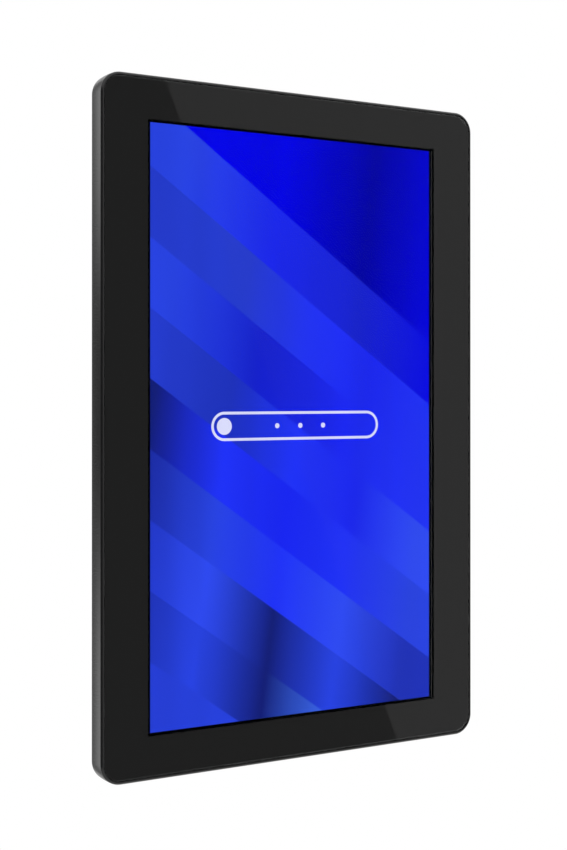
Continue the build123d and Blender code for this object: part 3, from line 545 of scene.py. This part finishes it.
# Cast acrylic is water-clear, with printed white dots that let the light out.
acrylic, tree, surface, place = new_finish("dotted_acrylic", IOR=1.49, Roughness=0.05)
dot_pitch = 2.2 * mm
dots = {"Vector": place, "Scale": 1 / dot_pitch, "Randomness": 0.0}
dots = add_node(tree, "ShaderNodeTexVoronoi", dots).outputs["Distance"]
spots = {"Value": dots, "From Min": 0.22, "From Max": 0.3, "To Min": 0.0, "To Max": 0.85}
spots = add_node(tree, "ShaderNodeMapRange", spots).outputs[0]
tree.links.new(spots, surface.inputs["Transmission Weight"])
tint(tree, surface, spots, "#f2f2ee", "#eef4f4")
finish_node("light_guide", acrylic)

# The LED strip is a white-masked aluminium board; each package has a yellow phosphor window.
led_strip, tree, surface, place = new_finish("led_strip_board", IOR=1.5)
package_t, phosphor_fade, speckle = 1.75 * mm, 0.03 * mm, 0.4 * mm
led_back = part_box("led_bar")[0].x + package_t
offset = add_node(tree, "ShaderNodeSeparateXYZ", {0: place}).outputs["X"]
phosphor = {"Value": offset, "From Min": led_back, "From Max": led_back + phosphor_fade}
phosphor = add_node(tree, "ShaderNodeMapRange", phosphor).outputs[0]
tint(tree, surface, phosphor, "#e6e6e2", "#e8cc4a")
rough = add_node(tree, "ShaderNodeTexNoise", {"Vector": place, "Scale": 1 / speckle}).outputs["Fac"]
tree.links.new(rough, surface.inputs["Roughness"])
finish_node("led_bar", led_strip)

# ------------------------------------------------------------------ pressed steel plates
# The display module's back plate and the chassis plate are pressed from zinc-coated sheet, and the
# driver board of the panel lies along the module's edge.
# Zinc-coated steel is a cool grey metal whose crystals show as pale and dark patches a few mm wide.
zinc, tree, surface, place = new_finish("zinc_coated_steel", Metallic=1.0)
grain(tree, surface, place, 1.5, 0.004, 0.38, 0.52)
crystal = 6 * mm
patches = {"Vector": place, "Scale": 1 / crystal, "Randomness": 1.0}
patches = add_node(tree, "ShaderNodeTexVoronoi", patches).outputs["Color"]
grey = add_node(tree, "ShaderNodeRGBToBW", {0: patches}).outputs[0]
tint(tree, surface, grey, "#8d9091", "#abaeae")
for name in ("module_back_plate", "chassis_plate", "board_standoffs", "cover_posts"):
    finish_node(name, zinc)

# ------------------------------------------------------------------ wall pillars
# Eight turned and nickel-plated steel pillars are pressed into the chassis plate and reach the flat
# back through the cover; their M4 threads take the wall bracket's bolts.
chassis_back = -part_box("wall_pillars")[0].y
shoulder_r, neck_r, hole_r = 5.0 * mm, 3.0 * mm, 1.65 * mm
shoulder_depth, hole_depth = 2.7 * mm, 12 * mm
pillar_soft, lead_in = 0.2 * mm, 0.35 * mm
thread_pitch, thread_depth = 0.7 * mm, 0.28 * mm
thread_start, thread_end = 0.75 * mm, 10.85 * mm

# Nickel plate is a warm, bright metal, and turning leaves fine rings that stretch its highlights.
nickel, tree, surface, place = new_finish("nickel_plated_steel", Metallic=1.0)
tint(tree, surface, grain(tree, surface, place, 0.4, 0.002, 0.22, 0.34), "#a8a296", "#c2bcae")

thread_tree, entry, exit_node = new_tree("inner_thread", "Turns", "Radius", "Height", "Ridge")
spiral = {"Resolution": 20, "Rotations": entry.outputs["Turns"], "Start Radius": entry.outputs["Radius"]}
spiral |= {"End Radius": entry.outputs["Radius"], "Height": entry.outputs["Height"]}
spiral = add_node(thread_tree, "GeometryNodeCurveSpiral", spiral)
ridge = {"Resolution": 4, "Radius": entry.outputs["Ridge"]}
ridge = add_node(thread_tree, "GeometryNodeCurvePrimitiveCircle", ridge)
rope = {"Curve": spiral.outputs[0], "Profile Curve": ridge.outputs[0], "Fill Caps": True}
rope = add_node(thread_tree, "GeometryNodeCurveToMesh", rope)
turned = {"Geometry": rope.outputs[0], "Rotation": (math.pi / 2, 0, 0)}
turned = add_node(thread_tree, "GeometryNodeTransform", turned)
end_tree(thread_tree, entry, exit_node, turned.outputs[0])


def ring_at(centre, r, depth, steps=40):
    """Round outline about a point at a depth."""
    turns = [step / steps * math.tau for step in range(steps)]
    return [(centre.x + r * math.cos(t), -depth, centre.z + r * math.sin(t)) for t in turns]


pillar_meshes = []
pillar_centres = [(low + high) / 2 for low, high in solids("wall_pillars")]
for centre in pillar_centres:
    stages = [
        (shoulder_r, chassis_back),
        (shoulder_r, shoulder_depth + pillar_soft),
        (shoulder_r - pillar_soft, shoulder_depth),
        (neck_r, shoulder_depth),
        (neck_r, pillar_soft),
        (neck_r - pillar_soft, 0.0),
        (hole_r + lead_in, 0.0),
        (hole_r, lead_in),
        (hole_r, hole_depth),
    ]
    pillar_meshes.append(skin([ring_at(centre, r, depth) for r, depth in stages]))
thread_length = thread_end - thread_start
points = [(centre.x, -thread_start, centre.z) for centre in pillar_centres]
size = dict(Turns=thread_length / thread_pitch, Radius=hole_r, Height=thread_length, Ridge=thread_depth)
threads = grow(thread_tree, points, nickel, **size)
pillars = stand("threaded_pillars", joined(*pillar_meshes, threads), nickel)
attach(pillars, "display")
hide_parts("wall_pillars")

# ------------------------------------------------------------------ boards and chips
# The main board, the touch board, the button board and the panel's driver board are glass-epoxy
# laminate with etched copper under green solder mask; the chips on them are moulded black epoxy.
# Solder mask is a glossy green skin: copper areas under it are lighter than bare laminate.
board, tree, surface, place = new_finish("green_solder_mask", IOR=1.5, Roughness=0.3, Coat_Weight=0.2)
copper_pitch, copper_t = 2.4 * mm, 0.03 * mm
copper = {"Vector": place, "Scale": 1 / copper_pitch, "Randomness": 0.9}
copper = add_node(tree, "ShaderNodeTexVoronoi", copper, distance="CHEBYCHEV").outputs["Distance"]
copper = {"Value": copper, "From Min": 0.42, "From Max": 0.46}
copper = add_node(tree, "ShaderNodeMapRange", copper).outputs[0]
tint(tree, surface, copper, "#0f4d2c", "#0a3a20")
relief = add_node(tree, "ShaderNodeBump", {"Height": copper, "Distance": copper_t}, invert=True)
tree.links.new(relief.outputs[0], surface.inputs["Normal"])
for name in ("main_board", "panel_driver_board", "touch_board", "button_board"):
    finish_node(name, board)

# Moulded epoxy is a dark grey with the fine sparkle of its silica filler.
epoxy, tree, surface, place = new_finish("moulded_epoxy", IOR=1.55)
tint(tree, surface, grain(tree, surface, place, 0.2, 0.004, 0.5, 0.65), "#17171a", "#222226")
for name in ("processor", "memory_chips", "wireless_module"):
    finish_node(name, epoxy)

# A filled silicone pad is pale blue-grey, soft and slightly tacky, and takes a dull sheen.
silicone, tree, surface, place = new_finish("filled_silicone_pad", IOR=1.42)
tint(tree, surface, grain(tree, surface, place, 0.5, 0.02, 0.55, 0.7), "#8b97a6", "#9fabb8")
finish_node("thermal_pad", silicone)

# Extruded aluminium anodised grey has drawing lines along its fins.
anodised, tree, surface, place = new_finish("anodised_aluminium", Metallic=1.0)
drawn = grain(tree, surface, place, 0.4, 0.006, 0.34, 0.48, (1, 1, 0.06))
tint(tree, surface, drawn, "#5d6065", "#74777c")
finish_node("heat_sink", anodised)

# Nylon headers are a slightly translucent off-white with mould sheen.
nylon, tree, surface, place = new_finish("moulded_nylon", IOR=1.53)
tint(tree, surface, grain(tree, surface, place, 0.6, 0.006, 0.35, 0.5), "#d6d0bf", "#e4dfd0")
finish_node("board_headers", nylon)

# The coin cell's can is bright stainless steel with a brushed face, held in black nylon.
stainless, tree, surface, place = new_finish("brushed_stainless_can", Metallic=1.0)
tint(tree, surface, grain(tree, surface, place, 0.3, 0.004, 0.2, 0.32, (0.1, 1, 1)), "#aeb0b1", "#c6c8c9")
finish_node("coin_cell", stainless)

# Glass-filled nylon in black: a tough, faintly speckled satin.
black_nylon, tree, surface, place = new_finish("black_glass_filled_nylon", IOR=1.53)
tint(tree, surface, grain(tree, surface, place, 0.35, 0.01, 0.35, 0.5), "#101012", "#1b1b1e")
for name in ("coin_holder", "button_switches"):
    finish_node(name, black_nylon)

# ------------------------------------------------------------------ sockets in the bay
# Soldered to the lower edge of the main board and reached from below: plated steel shells, black
# nylon bodies, a plated plate round their mouths, and rows of gold-plated contacts.
mouth_round = 0.15 * mm


def softened(name, new_name, radius, material, edge_angle=38):
    """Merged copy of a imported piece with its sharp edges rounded, to stand in for it."""
    work = bmesh.new()
    work.from_mesh(nodes[name].data)
    bmesh.ops.remove_doubles(work, verts=work.verts, dist=weld)
    bmesh.ops.dissolve_limit(work, angle_limit=math.radians(0.5), verts=work.verts, edges=work.edges)
    sharp = [e for e in work.edges if e.is_manifold and e.calc_face_angle() > math.radians(edge_angle)]
    rounded = dict(offset=radius, segments=2, profile=0.5, affect="EDGES", clamp_overlap=True)
    bmesh.ops.bevel(work, geom=sharp, **rounded)
    mesh = bpy.data.meshes.new(new_name)
    work.to_mesh(mesh)
    work.free()
    piece = stand(new_name, mesh, material, edge_angle=edge_angle)
    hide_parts(name)
    return piece


# (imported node, new piece, finish, slot of the record)
for name, new_name, material, slot_name in (
    ("usb_c_socket", "small_round_socket", nickel, "plated_steel"),
    ("video_socket", "video_socket_shell", nickel, "plated_steel"),
    ("usb_a_sockets", "flat_socket_shells", nickel, "plated_steel"),
    ("network_socket", "network_socket_body", nickel, "plated_steel"),
    ("dc_jack", "power_inlet_body", black_nylon, "connector_plastic"),
    ("audio_jack", "sound_socket_body", black_nylon, "connector_plastic"),
    ("socket_plate", "socket_mouth_plate", nickel, "plated_steel"),
):
    piece = softened(name, new_name, mouth_round, material)
    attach(piece, "display")

# Hard gold over nickel: a deep yellow metal, wiped smooth by plugs.
gold, tree, surface, place = new_finish("gold_plated_contact", Metallic=1.0)
tint(tree, surface, grain(tree, surface, place, 0.3, 0.001, 0.18, 0.3), "#c79a3a", "#dcb458")

contact_tree, entry, exit_node = new_tree("contact_row", "Wide", "Thick", "Long")
size = {"X": entry.outputs["Wide"], "Y": entry.outputs["Thick"], "Z": entry.outputs["Long"]}
size = add_node(contact_tree, "ShaderNodeCombineXYZ", size)
blade = add_node(contact_tree, "GeometryNodeMeshCube", {"Size": size.outputs[0]})
end_tree(contact_tree, entry, exit_node, blade.outputs["Mesh"])

# (socket, contacts, pitch, width, height from the board, length, start behind the face), in mm
contact_rows = (
    ("usb_a_sockets", 4, 2.5, 1.2, 3.8, 8.0, 1.6),
    ("usb_c_socket", 12, 0.5, 0.26, 1.3, 4.6, 1.4),
    ("video_socket", 10, 1.0, 0.5, 2.45, 7.5, 1.6),
    ("network_socket", 8, 1.02, 0.45, 2.5, 9.0, 3.0),
)
contact_t = 0.12 * mm
rows = []
for name, count, pitch, wide, height, long, start in contact_rows:
    for low, high in solids(name):
        middle_x = (low.x + high.x) / 2
        first = middle_x - (count - 1) / 2 * pitch * mm
        z = low.z + (start + long / 2) * mm
        points = [(first + i * pitch * mm, low.y + height * mm, z) for i in range(count)]
        rows.append(grow(contact_tree, points, gold, Wide=wide * mm, Thick=contact_t, Long=long * mm))
contacts = stand("socket_contacts", joined(*rows), gold)
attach(contacts, "display")

# ------------------------------------------------------------------ leads, antennas and speakers
# Thin wires in black PVC run to the touch board, the speakers and the two flat antennas, and the two
# oblong speakers are ported plastic boxes screwed inside the cover.
# Soft PVC has a low sheen and slight waviness.
jacket, tree, surface, place = new_finish("pvc_wire_jacket", IOR=1.5)
tint(tree, surface, grain(tree, surface, place, 1.2, 0.02, 0.4, 0.55), "#101011", "#19191a")
for name in ("touch_cable", "speaker_leads", "antenna_leads"):
    finish_node(name, jacket)

# A printed antenna is a thin green laminate with a bright copper figure.
antenna_board, tree, surface, place = new_finish("copper_clad_laminate", IOR=1.5, Roughness=0.35)
meander_pitch = 5 * mm
meander = {"Vector": place, "Scale": 0.5 / meander_pitch, "Distortion": 0.0}
meander = add_node(tree, "ShaderNodeTexWave", meander, bands_direction="X").outputs["Fac"]
meander = {"Value": meander, "From Min": 0.45, "From Max": 0.55}
meander = add_node(tree, "ShaderNodeMapRange", meander).outputs[0]
tint(tree, surface, meander, "#0e4a2a", "#b87a3c")
finish_node("antennas", antenna_board)

# The speaker boxes are plain black ABS straight from the tool.
speaker_abs, tree, surface, place = new_finish("plain_moulded_abs", IOR=1.5)
tint(tree, surface, grain(tree, surface, place, 0.9, 0.01, 0.4, 0.55), "#0f0f10", "#18181a")
for name in ("speaker_left", "speaker_right"):
    finish_node(name, speaker_abs)

# ------------------------------------------------------------------ push buttons
# Three satin ABS buttons in slots of the right-hand wall, each with a flange that keeps it in and a
# stem that works a tact switch on the button board.
crown = 0.12 * mm
edge_soft = 0.5 * mm
flange_over, flange_t = 1.2 * mm, 0.8 * mm
stem_r, stem_long, stem_bite = 0.9 * mm, 2.8 * mm, 0.1 * mm
for name, centre in zip(button_names, centres):
    low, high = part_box(name)
    flange_x = low.x + stem_long
    stages = []
    for step in range(6):
        turn = step / 5 * math.pi / 2
        shrink, back = edge_soft * (1 - math.cos(turn)), edge_soft * (1 - math.sin(turn)) + crown
        stages.append(pill(high.x - back, centre, button_long - 2 * shrink, button_thick - 2 * shrink))
    # Two smaller rings lift the face into a low crown.
    for step in (0.66, 0.33):
        rise = crown * (1 - step**2)
        size = ((button_long - 2 * edge_soft) * step, (button_thick - 2 * edge_soft) * step)
        stages.append(pill(high.x - crown + rise, centre, *size))
    cap = skin([pill(flange_x + flange_t, centre, button_long, button_thick), *stages])
    flange_long = button_long + 2 * flange_over
    corners = [
        (centre.y + y * button_thick / 2, centre.z + z * flange_long / 2)
        for y, z in ((-1, -1), (1, -1), (1, 1), (-1, 1))
    ]
    flange = skin([[(x, y, z) for y, z in corners] for x in (flange_x, flange_x + flange_t)])
    turns = [step / 20 * math.tau for step in range(20)]
    stem = [(centre.y + stem_r * math.cos(t), centre.z + stem_r * math.sin(t)) for t in turns]
    stem = skin([[(x, y, z) for y, z in stem] for x in (low.x, flange_x + stem_bite)])
    button = stand(f"{name}_cap", joined(cap, flange, stem), abs_satin)
    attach(button, name)
    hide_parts(name)

# ------------------------------------------------------------------ rear cover
# One deep ABS moulding: a narrow band against the frame, sloping sides, a flat back with the socket
# bay, cooling slots, speaker slots and screw wells, all spark-textured against finger marks.
# Spark-eroded texture is an even field of rounded pits about half a millimetre apart.
textured_abs, tree, surface, place = new_finish("spark_textured_abs", IOR=1.5)
tint(tree, surface, grain(tree, surface, place, 0.7, 0.05, 0.46, 0.66), "#121213", "#1b1b1d")
rear_cover = softened("rear_cover", "cover_moulding", 0.3 * mm, textured_abs)
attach(rear_cover, "display")

# ------------------------------------------------------------------ screws
# M3 cross-recessed machine screws hold every level: blackened on the outside, zinc-plated inside.
# Each is a tapered pan head with a four-armed recess on a shank threaded over most of its length.
head_r, head_h, head_taper = 2.75 * mm, 1.8 * mm, 0.78
shank_r, core_drop = 1.5 * mm, 0.1 * mm
arm_long, arm_wide, arm_deep = 3.0 * mm, 0.8 * mm, 1.1 * mm
screw_pitch, screw_ridge, threaded = 0.5 * mm, 0.16 * mm, 0.94

# Black oxide on steel: a thin brown-black skin with an oily satin shine.
black_oxide, tree, surface, place = new_finish("black_oxide_steel", Metallic=0.6)
tint(tree, surface, grain(tree, surface, place, 0.5, 0.004, 0.3, 0.42), "#161514", "#232120")

screw_tree, entry, exit_node = new_tree("cross_recessed_screw", "Length", "Turns", "Turn")
head = {"Vertices": 28, "Radius Top": head_r * head_taper, "Radius Bottom": head_r, "Depth": head_h}
head = add_node(screw_tree, "GeometryNodeMeshCone", head)
arms = []
for size in ((arm_long, arm_wide), (arm_wide, arm_long)):
    arm = add_node(screw_tree, "GeometryNodeMeshCube", {"Size": (*size, 2 * arm_deep)})
    lifted = {"Geometry": arm.outputs["Mesh"], "Translation": (0, 0, head_h)}
    arms.append(add_node(screw_tree, "GeometryNodeTransform", lifted).outputs[0])
recessed = {0: head.outputs["Mesh"]}
recessed = add_node(screw_tree, "GeometryNodeMeshBoolean", recessed, operation="DIFFERENCE", solver="EXACT")
for arm in arms:
    screw_tree.links.new(arm, recessed.inputs[1])
shank = {"Vertices": 20, "Radius": shank_r - core_drop, "Depth": entry.outputs["Length"]}
shank = add_node(screw_tree, "GeometryNodeMeshCylinder", shank)
half_down = {0: entry.outputs["Length"], 1: -0.5}
half_down = add_node(screw_tree, "ShaderNodeMath", half_down, operation="MULTIPLY")
down = add_node(screw_tree, "ShaderNodeCombineXYZ", {"Z": half_down.outputs[0]})
shank = {"Geometry": shank.outputs["Mesh"], "Translation": down.outputs[0]}
shank = add_node(screw_tree, "GeometryNodeTransform", shank)
all_down = {0: entry.outputs["Length"], 1: -threaded}
all_down = add_node(screw_tree, "ShaderNodeMath", all_down, operation="MULTIPLY")
spiral = {"Resolution": 12, "Rotations": entry.outputs["Turns"], "Start Radius": shank_r - screw_ridge}
spiral |= {"End Radius": shank_r - screw_ridge, "Height": all_down.outputs[0]}
spiral = add_node(screw_tree, "GeometryNodeCurveSpiral", spiral)
ridge = add_node(screw_tree, "GeometryNodeCurvePrimitiveCircle", {"Resolution": 4, "Radius": screw_ridge})
rope = {"Curve": spiral.outputs[0], "Profile Curve": ridge.outputs[0], "Fill Caps": True}
rope = add_node(screw_tree, "GeometryNodeCurveToMesh", rope)
whole = add_node(screw_tree, "GeometryNodeJoinGeometry")
for part in (rope.outputs[0], shank.outputs[0], recessed.outputs[0]):
    screw_tree.links.new(part, whole.inputs[0])
tilt = add_node(screw_tree, "ShaderNodeCombineXYZ", {"X": entry.outputs["Turn"]})
turned = {"Geometry": whole.outputs[0], "Rotation": tilt.outputs[0]}
turned = add_node(screw_tree, "GeometryNodeTransform", turned)
end_tree(screw_tree, entry, exit_node, turned.outputs[0])

# (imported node, new piece, finish, slot, 1 where the head faces the wall and -1 where it faces forward)
for name, new_name, material, slot_name, drive in (
    ("cover_screws", "cover_screw_set", black_oxide, "black_steel", 1),
    ("chassis_screws", "chassis_screw_set", zinc, "plated_steel", 1),
    ("panel_screws", "panel_screw_set", zinc, "plated_steel", 1),
    ("board_screws", "board_screw_set", zinc, "plated_steel", 1),
    ("heat_sink_screws", "heat_sink_screw_set", zinc, "plated_steel", 1),
    ("button_screws", "button_screw_set", zinc, "plated_steel", 1),
    ("speaker_screws", "speaker_screw_set", zinc, "plated_steel", -1),
):
    boxes = solids(name)
    length = boxes[0][1].y - boxes[0][0].y - head_h
    seats = [high.y - head_h if drive > 0 else low.y + head_h for low, high in boxes]
    points = [((low.x + high.x) / 2, seat, (low.z + high.z) / 2) for (low, high), seat in zip(boxes, seats)]
    size = dict(Length=length, Turns=length * threaded / screw_pitch, Turn=-drive * math.pi / 2)
    screw_set = stand(new_name, grow(screw_tree, points, material, **size))
    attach(screw_set, "display")
    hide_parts(name)

# ------------------------------------------------------------------ studio
# A white surround, a pale round floor below the wall-hung display and cards that only reflections
# see: a grey one in front with a slanting bright side, a graded one beside the side wall and a dark
# one to the left front.
scene.view_settings.view_transform = "Standard"
scene.view_settings.look = "None"

# The camera stands 0.9 m off at screen height, turned 30 degrees so that the left-hand wall shows.
camera = bpy.data.cameras.new("studio_camera")
camera.lens = 60.7
camera.sensor_width = 36
camera.shift_y = -0.0407
camera.clip_start = 0.01
camera_object = bpy.data.objects.new("studio_camera", camera)
scene.collection.objects.link(camera_object)
camera_object.location = (-0.4410, -0.7677, 0.0196)
camera_object.rotation_euler = (math.radians(90.089), 0, math.radians(-30.47))
scene.camera = camera_object

world = bpy.data.worlds.new("white_surround")
scene.world = world
world.use_nodes = True
world.node_tree.nodes["Background"].inputs["Color"].default_value = (1, 1, 1, 1)
world.node_tree.nodes["Background"].inputs["Strength"].default_value = 1.0

floor_r, floor_z = 2.2, -1.3
paint, tree, surface, place = new_finish("pale_floor_paint")
tint(tree, surface, grain(tree, surface, place, 12, 0.2, 0.5, 0.7), "#dcdcda", "#e4e4e2")
turns = [step / 96 * math.tau for step in range(96)]
floor_mesh = bpy.data.meshes.new("studio_floor")
disc = [(floor_r * math.cos(t), floor_r * math.sin(t), floor_z) for t in turns]
floor_mesh.from_pydata(disc, [], [range(96)])
floor = stand("studio_floor", floor_mesh, paint)


def card(name, corners, strength):
    """A glowing flat card that only reflections see; strength builds its brightness from place."""
    glow_card = bpy.data.materials.new(name)
    glow_card.use_nodes = True
    tree = glow_card.node_tree
    tree.nodes.clear()
    place = add_node(tree, "ShaderNodeTexCoord").outputs["Object"]
    lamp = add_node(tree, "ShaderNodeEmission", {"Color": (1, 1, 1, 1), "Strength": strength(tree, place)})
    add_node(tree, "ShaderNodeOutputMaterial", {"Surface": lamp.outputs[0]})
    mesh = bpy.data.meshes.new(name)
    mesh.from_pydata(corners, [], [range(4)])
    made = stand(name, mesh, glow_card)
    made.visible_camera = made.visible_diffuse = made.visible_shadow = False


def front_strength(tree, place):
    """Dim in the middle, brighter past a slanting edge on the right, and brightest on the far left."""
    edge_slant, edge_x, left_x = 0.4038, 1.131, 0.71
    slanted = {0: place, 1: (1, 0, edge_slant)}
    reach = add_node(tree, "ShaderNodeVectorMath", slanted, operation="DOT_PRODUCT").outputs["Value"]
    step = {"Value": reach, "From Min": edge_x - 0.003, "From Max": edge_x + 0.003}
    step |= {"To Min": 0.34, "To Max": 0.63}
    step = add_node(tree, "ShaderNodeMapRange", step).outputs[0]
    across = add_node(tree, "ShaderNodeSeparateXYZ", {0: place}).outputs["X"]
    left = {"Value": across, "From Min": left_x + 0.002, "From Max": left_x - 0.002, "To Max": 0.6}
    left = add_node(tree, "ShaderNodeMapRange", left).outputs[0]
    return add_node(tree, "ShaderNodeMath", {0: step, 1: left}).outputs[0]


def side_strength(tree, place):
    """Dark at mid height, brighter above and below, and most of all towards the front."""
    parts = add_node(tree, "ShaderNodeSeparateXYZ", {0: place}).outputs
    from_middle = add_node(tree, "ShaderNodeMath", {0: parts["Z"]}, operation="ABSOLUTE").outputs[0]
    lift = 1.0
    # (place, start, end, brightness at the start, brightness at the end)
    for value, start, end, low, high in (
        (from_middle, 0.08, 0.36, 0, 1),
        (parts["Z"], -0.1, 0.1, 0.9, 1),
        (parts["Y"], 1.15, 0.5, 0.15, 2.9),
    ):
        span = {"Value": value, "From Min": start, "From Max": end, "To Min": low, "To Max": high}
        step = add_node(tree, "ShaderNodeMapRange", span, interpolation_type="SMOOTHSTEP").outputs[0]
        lift = add_node(tree, "ShaderNodeMath", {0: step, 1: lift}, operation="MULTIPLY").outputs[0]
    return add_node(tree, "ShaderNodeMath", {0: lift, 1: 0.2}).outputs[0]


def flag_strength(tree, place):
    """Almost black, a little lighter towards the top."""
    height = add_node(tree, "ShaderNodeSeparateXYZ", {0: place}).outputs["Z"]
    fade = {"Value": height, "From Min": -1.0, "From Max": 1.0, "To Min": 0.02, "To Max": 0.05}
    return add_node(tree, "ShaderNodeMapRange", fade).outputs[0]


card("front_card", [(-3, -2, -2), (-3, -2, 2), (4, -2, 2), (4, -2, -2)], front_strength)
card("side_card", [(-0.9, 0, -1.2), (-0.9, 0, 1.2), (-0.2, 2.1, 1.2), (-0.2, 2.1, -1.2)], side_strength)
card("left_flag", [(-1.9, -0.4, -1), (-1.9, -0.4, 1), (-0.9, -1.9, 1), (-0.9, -1.9, -1)], flag_strength)
